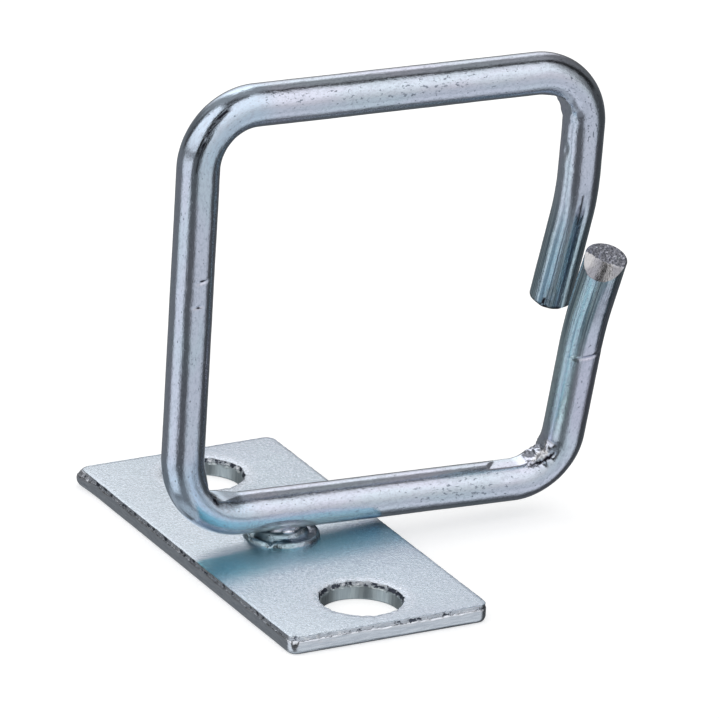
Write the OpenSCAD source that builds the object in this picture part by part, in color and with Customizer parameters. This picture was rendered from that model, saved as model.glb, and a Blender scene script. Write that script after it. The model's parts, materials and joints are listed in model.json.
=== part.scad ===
// Rack cable ring: a round rod bent into a square ring with overlapping,
// sideways-splayed ends, projection-welded to a punched two-hole base plate.
// Frame: origin at the middle of the plate's underside, +Z up through the plate,
// X along the ring's opening plane, Y through the ring, along the plate.

/* [Base plate] */
// Length of the plate, along Y
plate_length = 43.5; // [40:0.5:60]
// Width of the plate, along X
plate_width = 20.5; // [18:0.5:30]
// Thickness of the sheet
plate_thickness = 1.8; // [1.2:0.1:3]
// Radius of the plate's four corners
plate_corner_radius = 1; // [0.8:0.1:3]
// Radius that the punch rolls onto the lower edges
edge_roll = 0.4; // [0.2:0.05:0.6]
// How far the torn upper part of a sheared edge leans inwards
edge_breakout = 0.12; // [0.05:0.01:0.2]
// Share of the thickness that is sheared clean before it tears
clean_share = 0.62; // [0.5:0.01:0.8]

/* [Screw holes] */
// Diameter of the clean bore of each hole
hole_diameter = 7.4; // [5:0.1:8.5]
// Distance between the two hole centres, two rack unit pitches
hole_spacing = 31.75; // [28:0.05:34]
// How much wider each hole is at the torn upper rim
hole_breakout = 0.35; // [0.1:0.05:0.8]
// Radius that the punch rolls onto each hole's lower rim
hole_roll = 0.2; // [0.1:0.05:0.4]

/* [Ring] */
// Diameter of the rod
rod_diameter = 4; // [3:0.1:5]
// From the weld to the foot corner over the plate
foot_short = 10.7; // [9:0.1:14]
// From the weld to the foot corner below the mouth
foot_long = 29; // [24:0.5:40]
// Height of the closed side between bend corners
closed_side_height = 40.1; // [34:0.1:50]
// Height of the mouth side between bend corners
mouth_side_height = 40.6; // [34:0.1:50]
// How far the closed side leans outwards at the top
closed_side_spread = 1; // [0:0.1:2]
// How far the mouth side leans inwards at the top
mouth_side_tuck = 0.4; // [0:0.1:2]
// How far the ring leans towards the mouth side, in degrees
ring_lean = 2.4; // [0:0.1:2.5]

/* [Bends] */
// Centreline radius of the bend below the mouth
foot_mouth_radius = 4.8; // [4:0.1:7]
// Centreline radius of the bend over the plate
foot_closed_radius = 6.4; // [4:0.1:7]
// Centreline radius of the two upper bends
top_radius = 5.5; // [4:0.1:7]

/* [Mouth] */
// Height of the lower end's tip above the foot
lower_tip_height = 24; // [20:0.5:26]
// Height at which the lower end splays further out
lower_splay_height = 16.3; // [13:0.1:17]
// How far the lower end stands out at that height
lower_splay_offset = 2.9; // [2:0.1:4]
// How far the lower tip stands out of the ring's plane
lower_tip_offset = 5.7; // [4.5:0.1:7]
// Bend radius of the lower end's splay
lower_splay_radius = 30; // [20:1:34]
// Height of the upper end's tip above the foot
upper_tip_height = 16.5; // [14:0.5:22]
// Height at which the upper end starts to splay
upper_splay_height = 28.2; // [27:0.1:31]
// How far the upper tip stands out the other way
upper_tip_offset = 3.2; // [2.5:0.1:5]
// Bend radius of the upper end's splay
upper_splay_radius = 17.4; // [10:0.1:20]
// Depth of the cropping facet on the lower tip
crop_facet = 1.6; // [0.4:0.1:2]
// Slope of the cropping facet, in degrees
crop_slope = 42; // [20:1:50]
// Rounding of the upper tip's rim
tip_chamfer = 0.3; // [0.1:0.05:0.6]

/* [Weld] */
// Diameter of the welded projection
weld_diameter = 7.4; // [6:0.1:8]
// Gap that the weld leaves between plate and rod
weld_gap = 0.7; // [0.5:0.05:1.2]
// Height of the rim squeezed up round the projection
weld_rim_height = 0.75; // [0.5:0.05:1.2]
// Thickness of that rim
weld_rim_width = 0.7; // [0.4:0.05:1]
// Height of the dished floor inside the rim
weld_floor = 0.35; // [0.2:0.05:0.45]
// Diameter of the fused neck under the rod
weld_neck_diameter = 3.4; // [2:0.1:4]
// How far the fused neck climbs the rod's sides
weld_neck_climb = 0.5; // [0.2:0.05:0.8]

/* [Hidden] */
$fn = 64;
rod_radius = rod_diameter / 2;
clean_height = plate_thickness * clean_share;
rod_axis_height = plate_thickness + weld_gap + rod_radius;
zinc = [0.78, 0.83, 0.88];
zinc_bright = [0.72, 0.76, 0.82];
zinc_weld = [0.5, 0.55, 0.6];

// The rod is bent at a hundredth of its size and then scaled up, so that the
// rounded turns between its lengths stay within the modeller's own tolerance
// and the lengths fuse.
bending_scale = 0.01;
rod = rod_radius * bending_scale;
worn = tip_chamfer * bending_scale;
core_fit = 0.9985;

// Each limb of the rod runs from the weld through its bends to its own end
weld_point = [0, 0, 0];
lower_limb = [
    weld_point,
    [foot_long, 0, 0],
    [foot_long, -lower_splay_offset, lower_splay_height],
    [foot_long, -lower_tip_offset, lower_tip_height]
];
lower_radii = [0, foot_mouth_radius, lower_splay_radius, 0];
mouth_x = foot_long - mouth_side_tuck;
upper_limb = [
    weld_point,
    [-foot_short, 0, 0],
    [-foot_short - closed_side_spread, 0, closed_side_height],
    [mouth_x, 0, mouth_side_height],
    [mouth_x, 0, upper_splay_height],
    [mouth_x, upper_tip_offset, upper_tip_height]
];
upper_radii = [
    0, foot_closed_radius, top_radius, top_radius, upper_splay_radius, 0
];

function unit(v) = v / norm(v);
function heading(points, i) = unit(points[i + 1] - points[i]);
function turn(points, i) = acos(heading(points, i - 1) * heading(points, i));
function bend_normal(points, i) =
    i == 0 ? [0, 1, 0] : unit(cross(heading(points, i - 1), heading(points, i)));
// Length that the bend at point i takes from the straight on each side of it
function setback(points, radii, i) =
    i == 0 || i == len(points) - 1 ? 0 : radii[i] * tan(turn(points, i) / 2);
// How far the rod is rolled about itself before the bend at point i
function roll(points, i) =
    let (before = bend_normal(points, i - 1), after = bend_normal(points, i))
    atan2(cross(before, after) * heading(points, i - 1), before * after);

// A short core, a hair under the rod's surface, that two lengths of rod share
// where they meet end to end, so that they are one solid at any size
module shared_core() {
    cylinder(r = rod * core_fit, h = rod / 10, center = true);
}

// A true circular bend from +Z towards +X; children carry on from its end
module bend(radius, angle) {
    shared_core();
    translate([radius, 0, 0]) {
        rotate([90, 0, 180])
            rotate_extrude(angle = angle, $fn = 96)
                translate([radius, 0])
                    circle(r = rod);
        rotate([0, angle, 0])
            translate([-radius, 0, 0])
                children();
    }
}

// The rod from point i to the limb's end, as a bender makes it: feed, roll,
// bend and again. Children are what the end has, with +Z pointing out of it.
module limb(points, radii, i = 0) {
    next = i + 1;
    feed = norm(points[next] - points[i])
        - setback(points, radii, i) - setback(points, radii, next);
    shared_core();
    cylinder(r = rod, h = feed);
    translate([0, 0, feed])
        if (next < len(points) - 1)
            rotate([0, 0, roll(points, next)])
                bend(radii[next], turn(points, next))
                    limb(points, radii, next) children();
        else
            children();
}

// A whole limb at full size, leaving the weld at an angle from the vertical
module bent(angle, points, radii) {
    scale(1 / bending_scale)
        rotate([0, angle, 0])
            limb(points * bending_scale, radii * bending_scale)
                children();
}

// The rim of a cropped end, worn off all the way round
module worn_end() {
    cylinder(r1 = rod, r2 = rod - worn, h = worn);
}

// What the cropping blade takes off the lower end, on the side facing outwards
module crop_slope_cut() {
    tip = lower_limb[len(lower_limb) - 1];
    splay = atan(
        (lower_tip_offset - lower_splay_offset)
        / (lower_tip_height - lower_splay_height)
    );
    translate(tip)
        rotate([splay, 0, 0])
            translate([0, -rod_radius, -crop_facet])
                rotate([crop_slope, 0, 0])
                    translate([-rod_diameter, -rod_diameter, 0])
                        cube(2 * rod_diameter);
}

// Half of a sheared edge's section: rolled below, clean, then torn inwards
module edge_section(half) {
    translate([0, edge_roll])
        square([half, clean_height - edge_roll]);
    square([half - edge_roll, edge_roll]);
    translate([half - edge_roll, edge_roll])
        circle(r = edge_roll);
    polygon([
        [0, clean_height],
        [half, clean_height],
        [half - edge_breakout, plate_thickness],
        [0, plate_thickness]
    ]);
}

// A bar with sheared edges along both sides, lying along Y
module sheared_bar(width, length) {
    translate([0, length / 2, 0])
        rotate([90, 0, 0])
            linear_extrude(length) {
                edge_section(width / 2);
                mirror([1, 0]) edge_section(width / 2);
            }
}

module blank() {
    inner_width = plate_width - 2 * plate_corner_radius;
    inner_length = plate_length - 2 * plate_corner_radius;
    sheared_bar(plate_width, inner_length);
    rotate([0, 0, 90]) sheared_bar(plate_length, inner_width);
    for (x = [-1, 1], y = [-1, 1])
        translate([x * inner_width / 2, y * inner_length / 2, 0])
            rotate_extrude() edge_section(plate_corner_radius);
}

// A punched hole: rolled lower rim, clean bore, torn cone up to the top
module punched_hole() {
    bore_radius = hole_diameter / 2;
    translate([0, 0, -plate_thickness])
        cylinder(r = bore_radius, h = 3 * plate_thickness);
    translate([0, 0, clean_height])
        cylinder(
            r1 = bore_radius, r2 = bore_radius + hole_breakout / 2,
            h = plate_thickness - clean_height
        );
    rotate_extrude()
        translate([bore_radius - hole_roll, -hole_roll])
            difference() {
                square(2 * hole_roll);
                translate([2, 2] * hole_roll) circle(r = hole_roll);
            }
}

module base_plate() {
    color(zinc)
        difference() {
            blank();
            for (y = [-1, 1])
                translate([0, y * hole_spacing / 2, 0])
                    punched_hole();
        }
}

// The ring's own plane, leaning about the weld
module in_ring_plane() {
    translate([0, 0, rod_axis_height])
        rotate([0, ring_lean, 0])
            children();
}

module cable_ring() {
    color(zinc_bright)
        in_ring_plane() {
            bent(-90, upper_limb, upper_radii) worn_end();
            difference() {
                bent(90, lower_limb, lower_radii);
                crop_slope_cut();
            }
        }
}

// The flash squeezed up round the projection, dished inside its rim
module weld_flash() {
    rim_round = weld_rim_width / 2;
    rim_middle = weld_diameter / 2 - rim_round;
    rotate_extrude() {
        square([rim_middle, weld_floor]);
        translate([rim_middle, weld_rim_height - rim_round])
            circle(r = rim_round);
        translate([rim_middle - rim_round, 0])
            square([weld_rim_width, weld_rim_height - rim_round]);
    }
}

module weld() {
    color(zinc_weld)
        difference() {
            translate([0, 0, plate_thickness]) {
                weld_flash();
                cylinder(d = weld_neck_diameter, h = weld_gap + weld_neck_climb);
            }
            in_ring_plane()
                rotate([0, 90, 0])
                    cylinder(r = rod_radius, h = 2 * weld_diameter, center = true);
        }
}

base_plate();
cable_ring();
weld();
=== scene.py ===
"""A zinc-plated rack cable ring: a bent rod projection-welded to a punched plate.

The rod is drawn straight, marked as a draw die and a bender mark it, and then
bent along its route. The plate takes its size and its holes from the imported
frame, and the weld joins the two in the middle of the plate.
"""

import json
import math

import bmesh
import bpy
from mathutils import Matrix, Vector, noise


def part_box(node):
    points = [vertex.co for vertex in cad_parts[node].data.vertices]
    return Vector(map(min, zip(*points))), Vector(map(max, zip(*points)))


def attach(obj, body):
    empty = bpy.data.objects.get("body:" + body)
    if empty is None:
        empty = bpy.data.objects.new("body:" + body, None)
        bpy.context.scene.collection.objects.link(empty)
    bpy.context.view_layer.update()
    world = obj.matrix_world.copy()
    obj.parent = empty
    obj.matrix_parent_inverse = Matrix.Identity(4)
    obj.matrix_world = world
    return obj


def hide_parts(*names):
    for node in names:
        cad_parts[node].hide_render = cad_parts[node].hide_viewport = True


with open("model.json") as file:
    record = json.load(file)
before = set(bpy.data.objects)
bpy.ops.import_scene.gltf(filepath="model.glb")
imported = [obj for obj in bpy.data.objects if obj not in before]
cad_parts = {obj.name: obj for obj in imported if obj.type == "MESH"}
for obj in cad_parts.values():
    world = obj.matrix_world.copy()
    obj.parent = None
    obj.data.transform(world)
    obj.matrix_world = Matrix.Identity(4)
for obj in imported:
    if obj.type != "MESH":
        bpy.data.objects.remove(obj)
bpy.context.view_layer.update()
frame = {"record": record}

MM = 0.001
plate_low, plate_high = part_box("base_plate")
PLATE_THICKNESS = plate_high.z
ROD_RADIUS = 2.0 * MM
WELD_GAP = 0.7 * MM
hole_sizes = frame["record"]["mounts"][0]["dims"]
HOLE_PITCH = hole_sizes["spacing_y_mm"] * MM
HOLE_RADIUS = hole_sizes["hole_r_mm"] * MM


def smooth(low, high, value):
    """0 below low, 1 above high and an easy curve between."""
    t = min(1.0, max(0.0, (value - low) / (high - low)))
    return t * t * (3 - 2 * t)


def hump(value, centre, width):
    """A rounded bump of height 1 round a centre."""
    return math.exp(-(((value - centre) / width) ** 2))


def grain(x, y, z, size, seed=0.0):
    """Even noise from -1 to 1 with features of a size."""
    return noise.noise(Vector((x, y, z)) / size + Vector((seed, 1.7 * seed, -seed)))


# ---------------------------------------------------------------- shader maths


class Value:
    """The output of a node, for use in Python arithmetic."""

    def __init__(self, graph, socket):
        self.graph, self.socket = graph, socket

    def __add__(self, other):
        return self.graph.math("ADD", self, other)

    def __sub__(self, other):
        return self.graph.math("SUBTRACT", self, other)

    def __rsub__(self, other):
        return self.graph.math("SUBTRACT", other, self)

    def __mul__(self, other):
        return self.graph.math("MULTIPLY", self, other)

    __radd__ = __add__
    __rmul__ = __mul__

    def smooth(self, low, high):
        """0 below low, 1 above high; low may be the larger to turn it round."""
        if low > high:
            return 1 - self.smooth(high, low)
        return self.graph.node(
            "ShaderNodeMapRange",
            {"interpolation_type": "SMOOTHSTEP"},
            {"Value": self, "From Min": low, "From Max": high},
        )

    def within(self, low, high, edge):
        """1 between low and high, 0 outside, over soft edges."""
        return self.smooth(low - edge, low + edge) * self.smooth(high + edge, high - edge)


class Graph:
    """Adds nodes to a material's or the world's tree."""

    def __init__(self, owner):
        owner.use_nodes = True
        self.tree = owner.node_tree
        self.tree.nodes.clear()

    def node(self, kind, settings=None, inputs=None, output=0):
        made = self.tree.nodes.new(kind)
        for name, value in (settings or {}).items():
            setattr(made, name, value)
        for name, value in (inputs or {}).items():
            if isinstance(value, Value):
                self.tree.links.new(value.socket, made.inputs[name])
            else:
                made.inputs[name].default_value = value
        return Value(self, made.outputs[output]) if made.outputs else None

    def math(self, operation, *values):
        return self.node(
            "ShaderNodeMath", {"operation": operation}, dict(enumerate(values))
        )

    def blend(self, factor, low, high):
        """One value turning into another."""
        return self.node("ShaderNodeMix", {}, {0: factor, 2: low, 3: high})

    def mix(self, factor, low, high):
        """One colour turning into another."""
        return self.node(
            "ShaderNodeMix", {"data_type": "RGBA"}, {0: factor, 6: low, 7: high}, 2
        )

    def layered(self, base, *coats):
        """Colours laid over a base in turn, each by its share."""
        for share, coat in coats:
            base = self.mix(share, base, coat)
        return base

    def noise(self, vector, scale, detail, roughness=0.5):
        return self.node(
            "ShaderNodeTexNoise",
            {},
            {"Vector": vector, "Scale": scale, "Detail": detail, "Roughness": roughness},
        )

    def stretched(self, vector, scale):
        return self.node("ShaderNodeMapping", {}, {"Vector": vector, "Scale": scale})

    def streaks(self, vector, scale, detail, roughness=0.5):
        """Noise with a scale of its own along each axis."""
        return self.noise(self.stretched(vector, scale), 1.0, detail, roughness)

    def place_in_mm(self):
        """Where a point lies on the object, in mm."""
        place = self.node("ShaderNodeTexCoord", {}, {}, "Object")
        return self.stretched(place, (1 / MM, 1 / MM, 1 / MM))

    def mark(self, name):
        """A value that the mesh holds for each of its points."""
        return self.node("ShaderNodeAttribute", {"attribute_name": name}, {}, "Fac")

    def split(self, vector):
        made = self.node("ShaderNodeSeparateXYZ", {}, {"Vector": vector})
        outputs = made.socket.node.outputs
        return [Value(self, outputs[axis]) for axis in "XYZ"]


def colour(red, green, blue):
    return (red, green, blue, 1.0)


# ------------------------------------------------------------------- the camera

# Where the camera stands, in degrees; azimuth 0 is in front of the ring
CAMERA_AZIMUTH = -28.864
CAMERA_ELEVATION = 21.884
CAMERA_ROLL = 2.56
# Its focal length in mm, and the nearest and farthest that it sees in metres
CAMERA_LENS = 447.03
NEAREST_SEEN = 0.05
FARTHEST_SEEN = 20.0
# From the middle of the plate's face: back, and aside and up as it sees them
CAMERA_DISTANCE = 828.15 * MM
CAMERA_RIGHT = 7.262 * MM
CAMERA_UP = 16.229 * MM


def make_camera():
    azimuth, elevation, roll = map(
        math.radians, (CAMERA_AZIMUTH, CAMERA_ELEVATION, CAMERA_ROLL)
    )
    back = Vector(
        (
            math.sin(azimuth) * math.cos(elevation),
            -math.cos(azimuth) * math.cos(elevation),
            math.sin(elevation),
        )
    )
    turned = Matrix.Rotation(roll, 3, back)
    right = turned @ Vector((math.cos(azimuth), math.sin(azimuth), 0))
    up = back.cross(right)
    data = bpy.data.cameras.new("camera")
    data.lens = CAMERA_LENS
    data.clip_start = NEAREST_SEEN
    data.clip_end = FARTHEST_SEEN
    camera = bpy.data.objects.new("camera", data)
    bpy.context.scene.collection.objects.link(camera)
    camera.rotation_mode = "QUATERNION"
    camera.rotation_quaternion = (
        Matrix((right, up, back)).transposed().to_quaternion()
    )
    camera.location = (
        Vector((0, 0, PLATE_THICKNESS))
        + right * CAMERA_RIGHT
        + up * CAMERA_UP
        + back * CAMERA_DISTANCE
    )
    bpy.context.scene.camera = camera


# ------------------------------------------------------------------- the studio


def turned_azimuth(graph, x, y, centre):
    """Azimuth of a direction in degrees, counted from a centre."""
    angle = math.radians(centre)
    ahead = x * math.sin(angle) - y * math.cos(angle)
    aside = x * math.cos(angle) + y * math.sin(angle)
    return graph.math("ARCTAN2", aside, ahead) * math.degrees(1)


# What polished metal sees round the table, each painted over those before:
# strength, azimuth and half width, lower and upper edge, softness of both
# pairs of edges. Azimuth 0 is in front of the ring and 90 past its mouth.
STUDIO = [
    # the dark corner behind on the left, and the wall past it
    (0.20, -160, 22, 2, 26, 10, 8),
    (0.08, -137, 9, -2, 48, 5, 5),
    # the dark card on the right and the wall behind it
    (0.20, 112, 34, -5, 46, 10, 9),
    (0.03, 82, 14, -5, 66, 2, 3),
    # over the softboxes, and the gap between them
    (0.09, -28, 88, 71, 90, 8, 2),
    (0.035, -40, 14, -6, 68, 4, 4),
    # the glow beside the front softbox and its upper corner, then both
    # softboxes and the window
    (0.48, 56, 8, 8, 68, 3, 4),
    (0.90, 54, 12, 42, 68, 1.5, 4),
    (1.15, -90, 34, 7, 69, 3, 2.5),
    (1.15, 13, 36, -20, 69, 2.5, 3),
    (1.1, 160, 23, 9, 42, 6, 5),
    (1.5, 163, 17, 29, 60, 5, 5),
]
# The same for what it sees below, in the table
TABLE = [
    (0.13, 0, 180, -90, 0, 5, 5),
    (0.24, -40, 98, -90, -34, 16, 5),
    (0.21, -160, 46, -40, 0, 8, 4),
    (0.075, 87, 24, -62, 0, 5, 10),
    (0.90, -90, 26, -30, 1, 5, 6),
    (0.90, -85, 27, -50, -28, 5, 4),
    (0.70, 15.5, 37, -32, 6, 8, 6),
    (0.77, 24, 38, -56, -32, 11, 5),
    (0.46, -150, 28, -60, -42, 12, 5),
    (0.55, -40, 98, -90, -60, 16, 5),
]
# What is left between the patches
WALL_LEVEL = 0.35
TABLE_LEVEL = 0.14
# What lights the object: an even soft light and a broad lamp above
SOFT_LEVEL = 0.62
KEY_LEVEL = 0.55
KEY_SPREAD = 100
KEY_FROM = Vector((-0.45, 0.1, 1.0))
FLOOR_REACH = 1.5
FLOOR_GLOW = 0.5
WHITE = colour(1, 1, 1)


def studio_light(graph, direction):
    """The colour and strength that polished metal sees in a direction."""
    x, y, z = graph.split(direction)
    height = graph.math("ARCSINE", z) * math.degrees(1)

    def paint(level, patches):
        for strength, centre, half_width, low, high, side_edge, edge in patches:
            across = turned_azimuth(graph, x, y, centre)
            patch = across.within(-half_width, half_width, side_edge)
            if low > -90:
                patch = patch * height.smooth(low - edge, low + edge)
            if high < 90:
                patch = patch * height.smooth(high + edge, high - edge)
            level = graph.blend(patch, level, strength)
        return level

    above = paint(WALL_LEVEL, STUDIO)
    # the softboxes are brightest in their upper halves
    above = above * (0.64 + 0.36 * height.smooth(-6, 40))
    below = paint(TABLE_LEVEL, TABLE)
    level = graph.blend(height.smooth(3, -1.5), above, below)
    tint = graph.mix(height.smooth(4, -24), WHITE, colour(0.9, 0.96, 1.0))
    tint = graph.mix(height.smooth(-46, -74), tint, colour(0.86, 0.95, 1.0))
    return tint, level


def rays_seen(graph):
    """Whether a ray comes from the camera, and whether a mirror or glass sent it."""
    rays = graph.node("ShaderNodeLightPath").socket.node.outputs
    camera, glossy, passing = (
        Value(graph, rays[name])
        for name in ("Is Camera Ray", "Is Glossy Ray", "Is Transmission Ray")
    )
    return camera, graph.math("MAXIMUM", glossy, passing)


def make_world():
    """Plain white for the camera, the softboxes and the dark cards between them
    for what metal mirrors, and an even soft light on everything."""
    world = bpy.data.worlds.new("studio")
    bpy.context.scene.world = world
    graph = Graph(world)
    direction = graph.node("ShaderNodeTexCoord", {}, {}, "Generated")
    tint, level = studio_light(graph, direction)
    camera, mirrored = rays_seen(graph)
    seen = graph.node(
        "ShaderNodeBackground",
        {},
        {
            "Color": graph.mix(camera, tint, WHITE),
            "Strength": graph.blend(camera, level, 1.0),
        },
    )
    soft = graph.node(
        "ShaderNodeBackground", {}, {"Color": WHITE, "Strength": SOFT_LEVEL}
    )
    either = graph.math("MAXIMUM", camera, mirrored)
    surface = graph.node("ShaderNodeMixShader", {}, {0: either, 1: soft, 2: seen})
    graph.node("ShaderNodeOutputWorld", {}, {"Surface": surface})


def make_floor():
    """White paper that takes the ring's shadow. What mirrors it sees the table
    of the studio instead."""
    mesh = bmesh.new()
    bmesh.ops.create_grid(mesh, x_segments=1, y_segments=1, size=FLOOR_REACH)
    floor = finished(mesh, "table_top")
    material = bpy.data.materials.new("white_table")
    graph = Graph(material)
    camera, mirrored = rays_seen(graph)
    paper = graph.node("ShaderNodeBsdfDiffuse", {}, {"Color": colour(0.8, 0.8, 0.8)})
    glow = graph.node("ShaderNodeEmission", {}, {"Color": WHITE, "Strength": FLOOR_GLOW})
    bright = graph.node("ShaderNodeAddShader", {}, {0: paper, 1: glow})
    lit = graph.node("ShaderNodeMixShader", {}, {0: camera, 1: paper, 2: bright})
    clear = graph.node("ShaderNodeBsdfTransparent")
    surface = graph.node("ShaderNodeMixShader", {}, {0: mirrored, 1: lit, 2: clear})
    graph.node("ShaderNodeOutputMaterial", {}, {"Surface": surface})
    floor.data.materials.append(material)


def make_key_light():
    data = bpy.data.lights.new("key", "SUN")
    data.energy = KEY_LEVEL
    data.angle = math.radians(KEY_SPREAD)
    key = bpy.data.objects.new("key", data)
    key.rotation_euler = KEY_FROM.to_track_quat("Z", "Y").to_euler()
    key.visible_glossy = False
    bpy.context.scene.collection.objects.link(key)


# ------------------------------------------------------------------ mesh helpers


def finished(mesh, name, crease=None):
    """Turns a bmesh into an object at the origin, smooth but for its creases."""
    bmesh.ops.recalc_face_normals(mesh, faces=mesh.faces)
    for face in mesh.faces:
        face.smooth = crease is not None
    if crease is not None:
        for edge in mesh.edges:
            if len(edge.link_faces) == 2:
                edge.smooth = edge.calc_face_angle() < math.radians(crease)
    data = bpy.data.meshes.new(name)
    mesh.to_mesh(data)
    mesh.free()
    made = bpy.data.objects.new(name, data)
    bpy.context.scene.collection.objects.link(made)
    return made


def new_ring(mesh, edges):
    """Extrudes a loop of edges in place and gives the new loop's edges."""
    grown = bmesh.ops.extrude_edge_only(mesh, edges=edges)["geom"]
    verts = {item for item in grown if isinstance(item, bmesh.types.BMVert)}
    return [
        item
        for item in grown
        if isinstance(item, bmesh.types.BMEdge) and set(item.verts) <= verts
    ]


def verts_of(edges):
    return {vert for edge in edges for vert in edge.verts}


def in_degrees(x, y):
    """Angle of a point round its axis, from 0 to 360."""
    return math.degrees(math.atan2(y, x)) % 360


# ---------------------------------------------------------------------- the ring

# Corners of the rod's route, from the weld: the foot's two lengths, the heights
# of the closed side and the mouth side, and how far each stands out or in at
# its top; then the lean of it all
FOOT_SHORT = 10.7 * MM
FOOT_LONG = 29.0 * MM
CLOSED_SIDE_HEIGHT = 40.1 * MM
MOUTH_SIDE_HEIGHT = 40.6 * MM
CLOSED_SIDE_SPREAD = 1.0 * MM
MOUTH_SIDE_TUCK = 0.4 * MM
MOUTH = FOOT_LONG - MOUTH_SIDE_TUCK
RING_LEAN = math.radians(2.4)
ROD_AXIS_HEIGHT = PLATE_THICKNESS + WELD_GAP + ROD_RADIUS

# Corners of the rod in the ring's plane, each with the radius of its bend and
# of the bender's pin, which pressed the inside of the bend tighter
ROUTE = [
    (Vector((FOOT_LONG, -5.7 * MM, 24.0 * MM)), 0, None),
    (Vector((FOOT_LONG, -2.9 * MM, 16.3 * MM)), 30 * MM, None),
    (Vector((FOOT_LONG, 0, 0)), 4.8 * MM, 2.2 * MM),
    (Vector((-FOOT_SHORT, 0, 0)), 6.4 * MM, 2.1 * MM),
    (
        Vector((-FOOT_SHORT - CLOSED_SIDE_SPREAD, 0, CLOSED_SIDE_HEIGHT)),
        5.5 * MM,
        2.7 * MM,
    ),
    (Vector((MOUTH, 0, MOUTH_SIDE_HEIGHT)), 5.5 * MM, 2.3 * MM),
    (Vector((MOUTH, 0, 28.2 * MM)), 17.4 * MM, None),
    (Vector((MOUTH, 3.2 * MM, 16.5 * MM)), 0, None),
]
ROD_SIDES = 80
# Distance between rings of vertices in mm, and how much closer they come at marks
ROD_STEP = 0.24
CROWDING = 2.4
END_RINGS = 26
MERGED = 0.002 * MM


class Stretch:
    """One straight or one bend of the rod, from a distance along it."""

    def __init__(self, start, length, place, radius=None, inwards=None, pin=None):
        self.start, self.length, self.place = start, length, place
        self.radius, self.inwards, self.pin = radius, inwards, pin

    def pressed(self, x, y, along):
        """Holds a point of the skin back to the flat that the pin left."""
        if self.pin is None:
            return x, y
        half = self.length / self.radius / 2
        away = abs((along - self.start) / self.radius - half)
        line = self.radius - ROD_RADIUS
        if away > half - math.atan((1 - self.pin / line) * math.tan(half)):
            skin = line / math.cos(half - away)
        else:
            offset = (line - self.pin) / math.cos(half)
            skin = offset * math.cos(away) + math.sqrt(
                self.pin**2 - (offset * math.sin(away)) ** 2
            )
        over = max(0.0, Vector((x, y)).dot(self.inwards) - self.radius + skin)
        return x - over * self.inwards.x, y - over * self.inwards.y

    def bent(self, x, y, along):
        """Where a point of the straight rod goes."""
        past = along - self.start
        if self.radius is None:
            return self.place @ Vector((x, y, past))
        side = Vector((-self.inwards.y, self.inwards.x))
        point = Vector((x, y))
        reach, rest = point.dot(self.inwards), point.dot(side)
        turn = past / self.radius
        swing = self.radius - (self.radius - reach) * math.cos(turn)
        flat = self.inwards * swing + side * rest
        return self.place @ Vector(
            (flat.x, flat.y, (self.radius - reach) * math.sin(turn))
        )

    def end_place(self):
        if self.radius is None:
            return self.place @ Matrix.Translation((0, 0, self.length))
        inwards = Vector((self.inwards.x, self.inwards.y, 0))
        axis = Vector((0, 0, 1)).cross(inwards)
        centre = inwards * self.radius
        turn = Matrix.Rotation(self.length / self.radius, 4, axis)
        return (
            self.place
            @ Matrix.Translation(centre)
            @ turn
            @ Matrix.Translation(-centre)
        )


def plan_route():
    """The rod's stretches in turn, and its whole length."""
    points = [point for point, _, _ in ROUTE]
    headings = [(b - a).normalized() for a, b in zip(points, points[1:])]
    turns = [0.0] + [a.angle(b) for a, b in zip(headings, headings[1:])] + [0.0]
    setbacks = [r * math.tan(t / 2) for (_, r, _), t in zip(ROUTE, turns)]
    first = headings[0]
    across = Vector((1, 0, 0))
    place = Matrix.Translation(points[0]) @ Matrix(
        (across, first.cross(across), first)
    ).transposed().to_4x4()
    stretches, done = [], 0.0
    for i in range(len(headings)):
        length = (points[i + 1] - points[i]).length - setbacks[i] - setbacks[i + 1]
        stretches.append(Stretch(done, length, place))
        done += length
        place = stretches[-1].end_place()
        if i + 1 < len(headings):
            _, radius, pin = ROUTE[i + 1]
            towards = place.to_3x3().inverted() @ headings[i + 1]
            inwards = Vector((towards.x, towards.y)).normalized()
            arc = radius * turns[i + 1]
            stretches.append(Stretch(done, arc, place, radius, inwards, pin))
            done += arc
            place = stretches[-1].end_place()
    return stretches, done


# Marks on the rod: distance from the lower tip and angle round it in mm and
# degrees, half width along and round it, depth in mm
NICKS = [
    (84.0, 103, 0.15, 14, 0.12),
    (81.6, 92, 0.13, 12, 0.10),
    (10.8, 92, 0.19, 36, 0.17),
    (143.1, 176, 0.7, 12, 0.10),
    (148.4, 113, 1.3, 5, 0.09),
    (158.3, 137, 0.8, 14, 0.10),
    (29.0, 128, 0.5, 6, 0.07),
    (97.2, 67, 1.3, 5, 0.05),
    (99.3, 58, 0.9, 4, 0.04),
    (104.6, 70, 0.9, 5, 0.04),
    (106.3, 76, 1.2, 4, 0.035),
    (108.4, 66, 0.8, 5, 0.04),
]
# How far a nick runs aslant, in mm for each degree
NICK_SLANT = 0.006
# Nicks shorter than this along the rod get closer rings of vertices
SHORT_NICK = 0.6
# Waves that the draw die left: height in mm, how far they are drawn out along
# the rod, size in radii of the rod and seed
DRAW_WAVES = [(0.016, 7, 0.8, 3), (0.009, 2.5, 0.4, 8), (0.0035, 2, 0.2, 1)]
# The splay bent before them left the other bends turned about the rod by this
ROLLED = math.radians(10)
# The flat where the pin bit beside the bend below the mouth: from and to along
# the rod, its depth, and its fall to the front
PIN_MARK = (25.2, 29.8, 0.17, 0.09)
# Metal crumpled inside the bends: distance along the rod and roughness
CRUMPLED = [(23.0, 0.24), (61.0, 0.05), (138.4, 0.08)]
CRUMPLED_REACH = 5.0
# Fine and coarse crumpling: share of the roughness, and size in radii
CRUMPLES = [(0.6, 0.2), (1.8, 0.5)]
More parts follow.
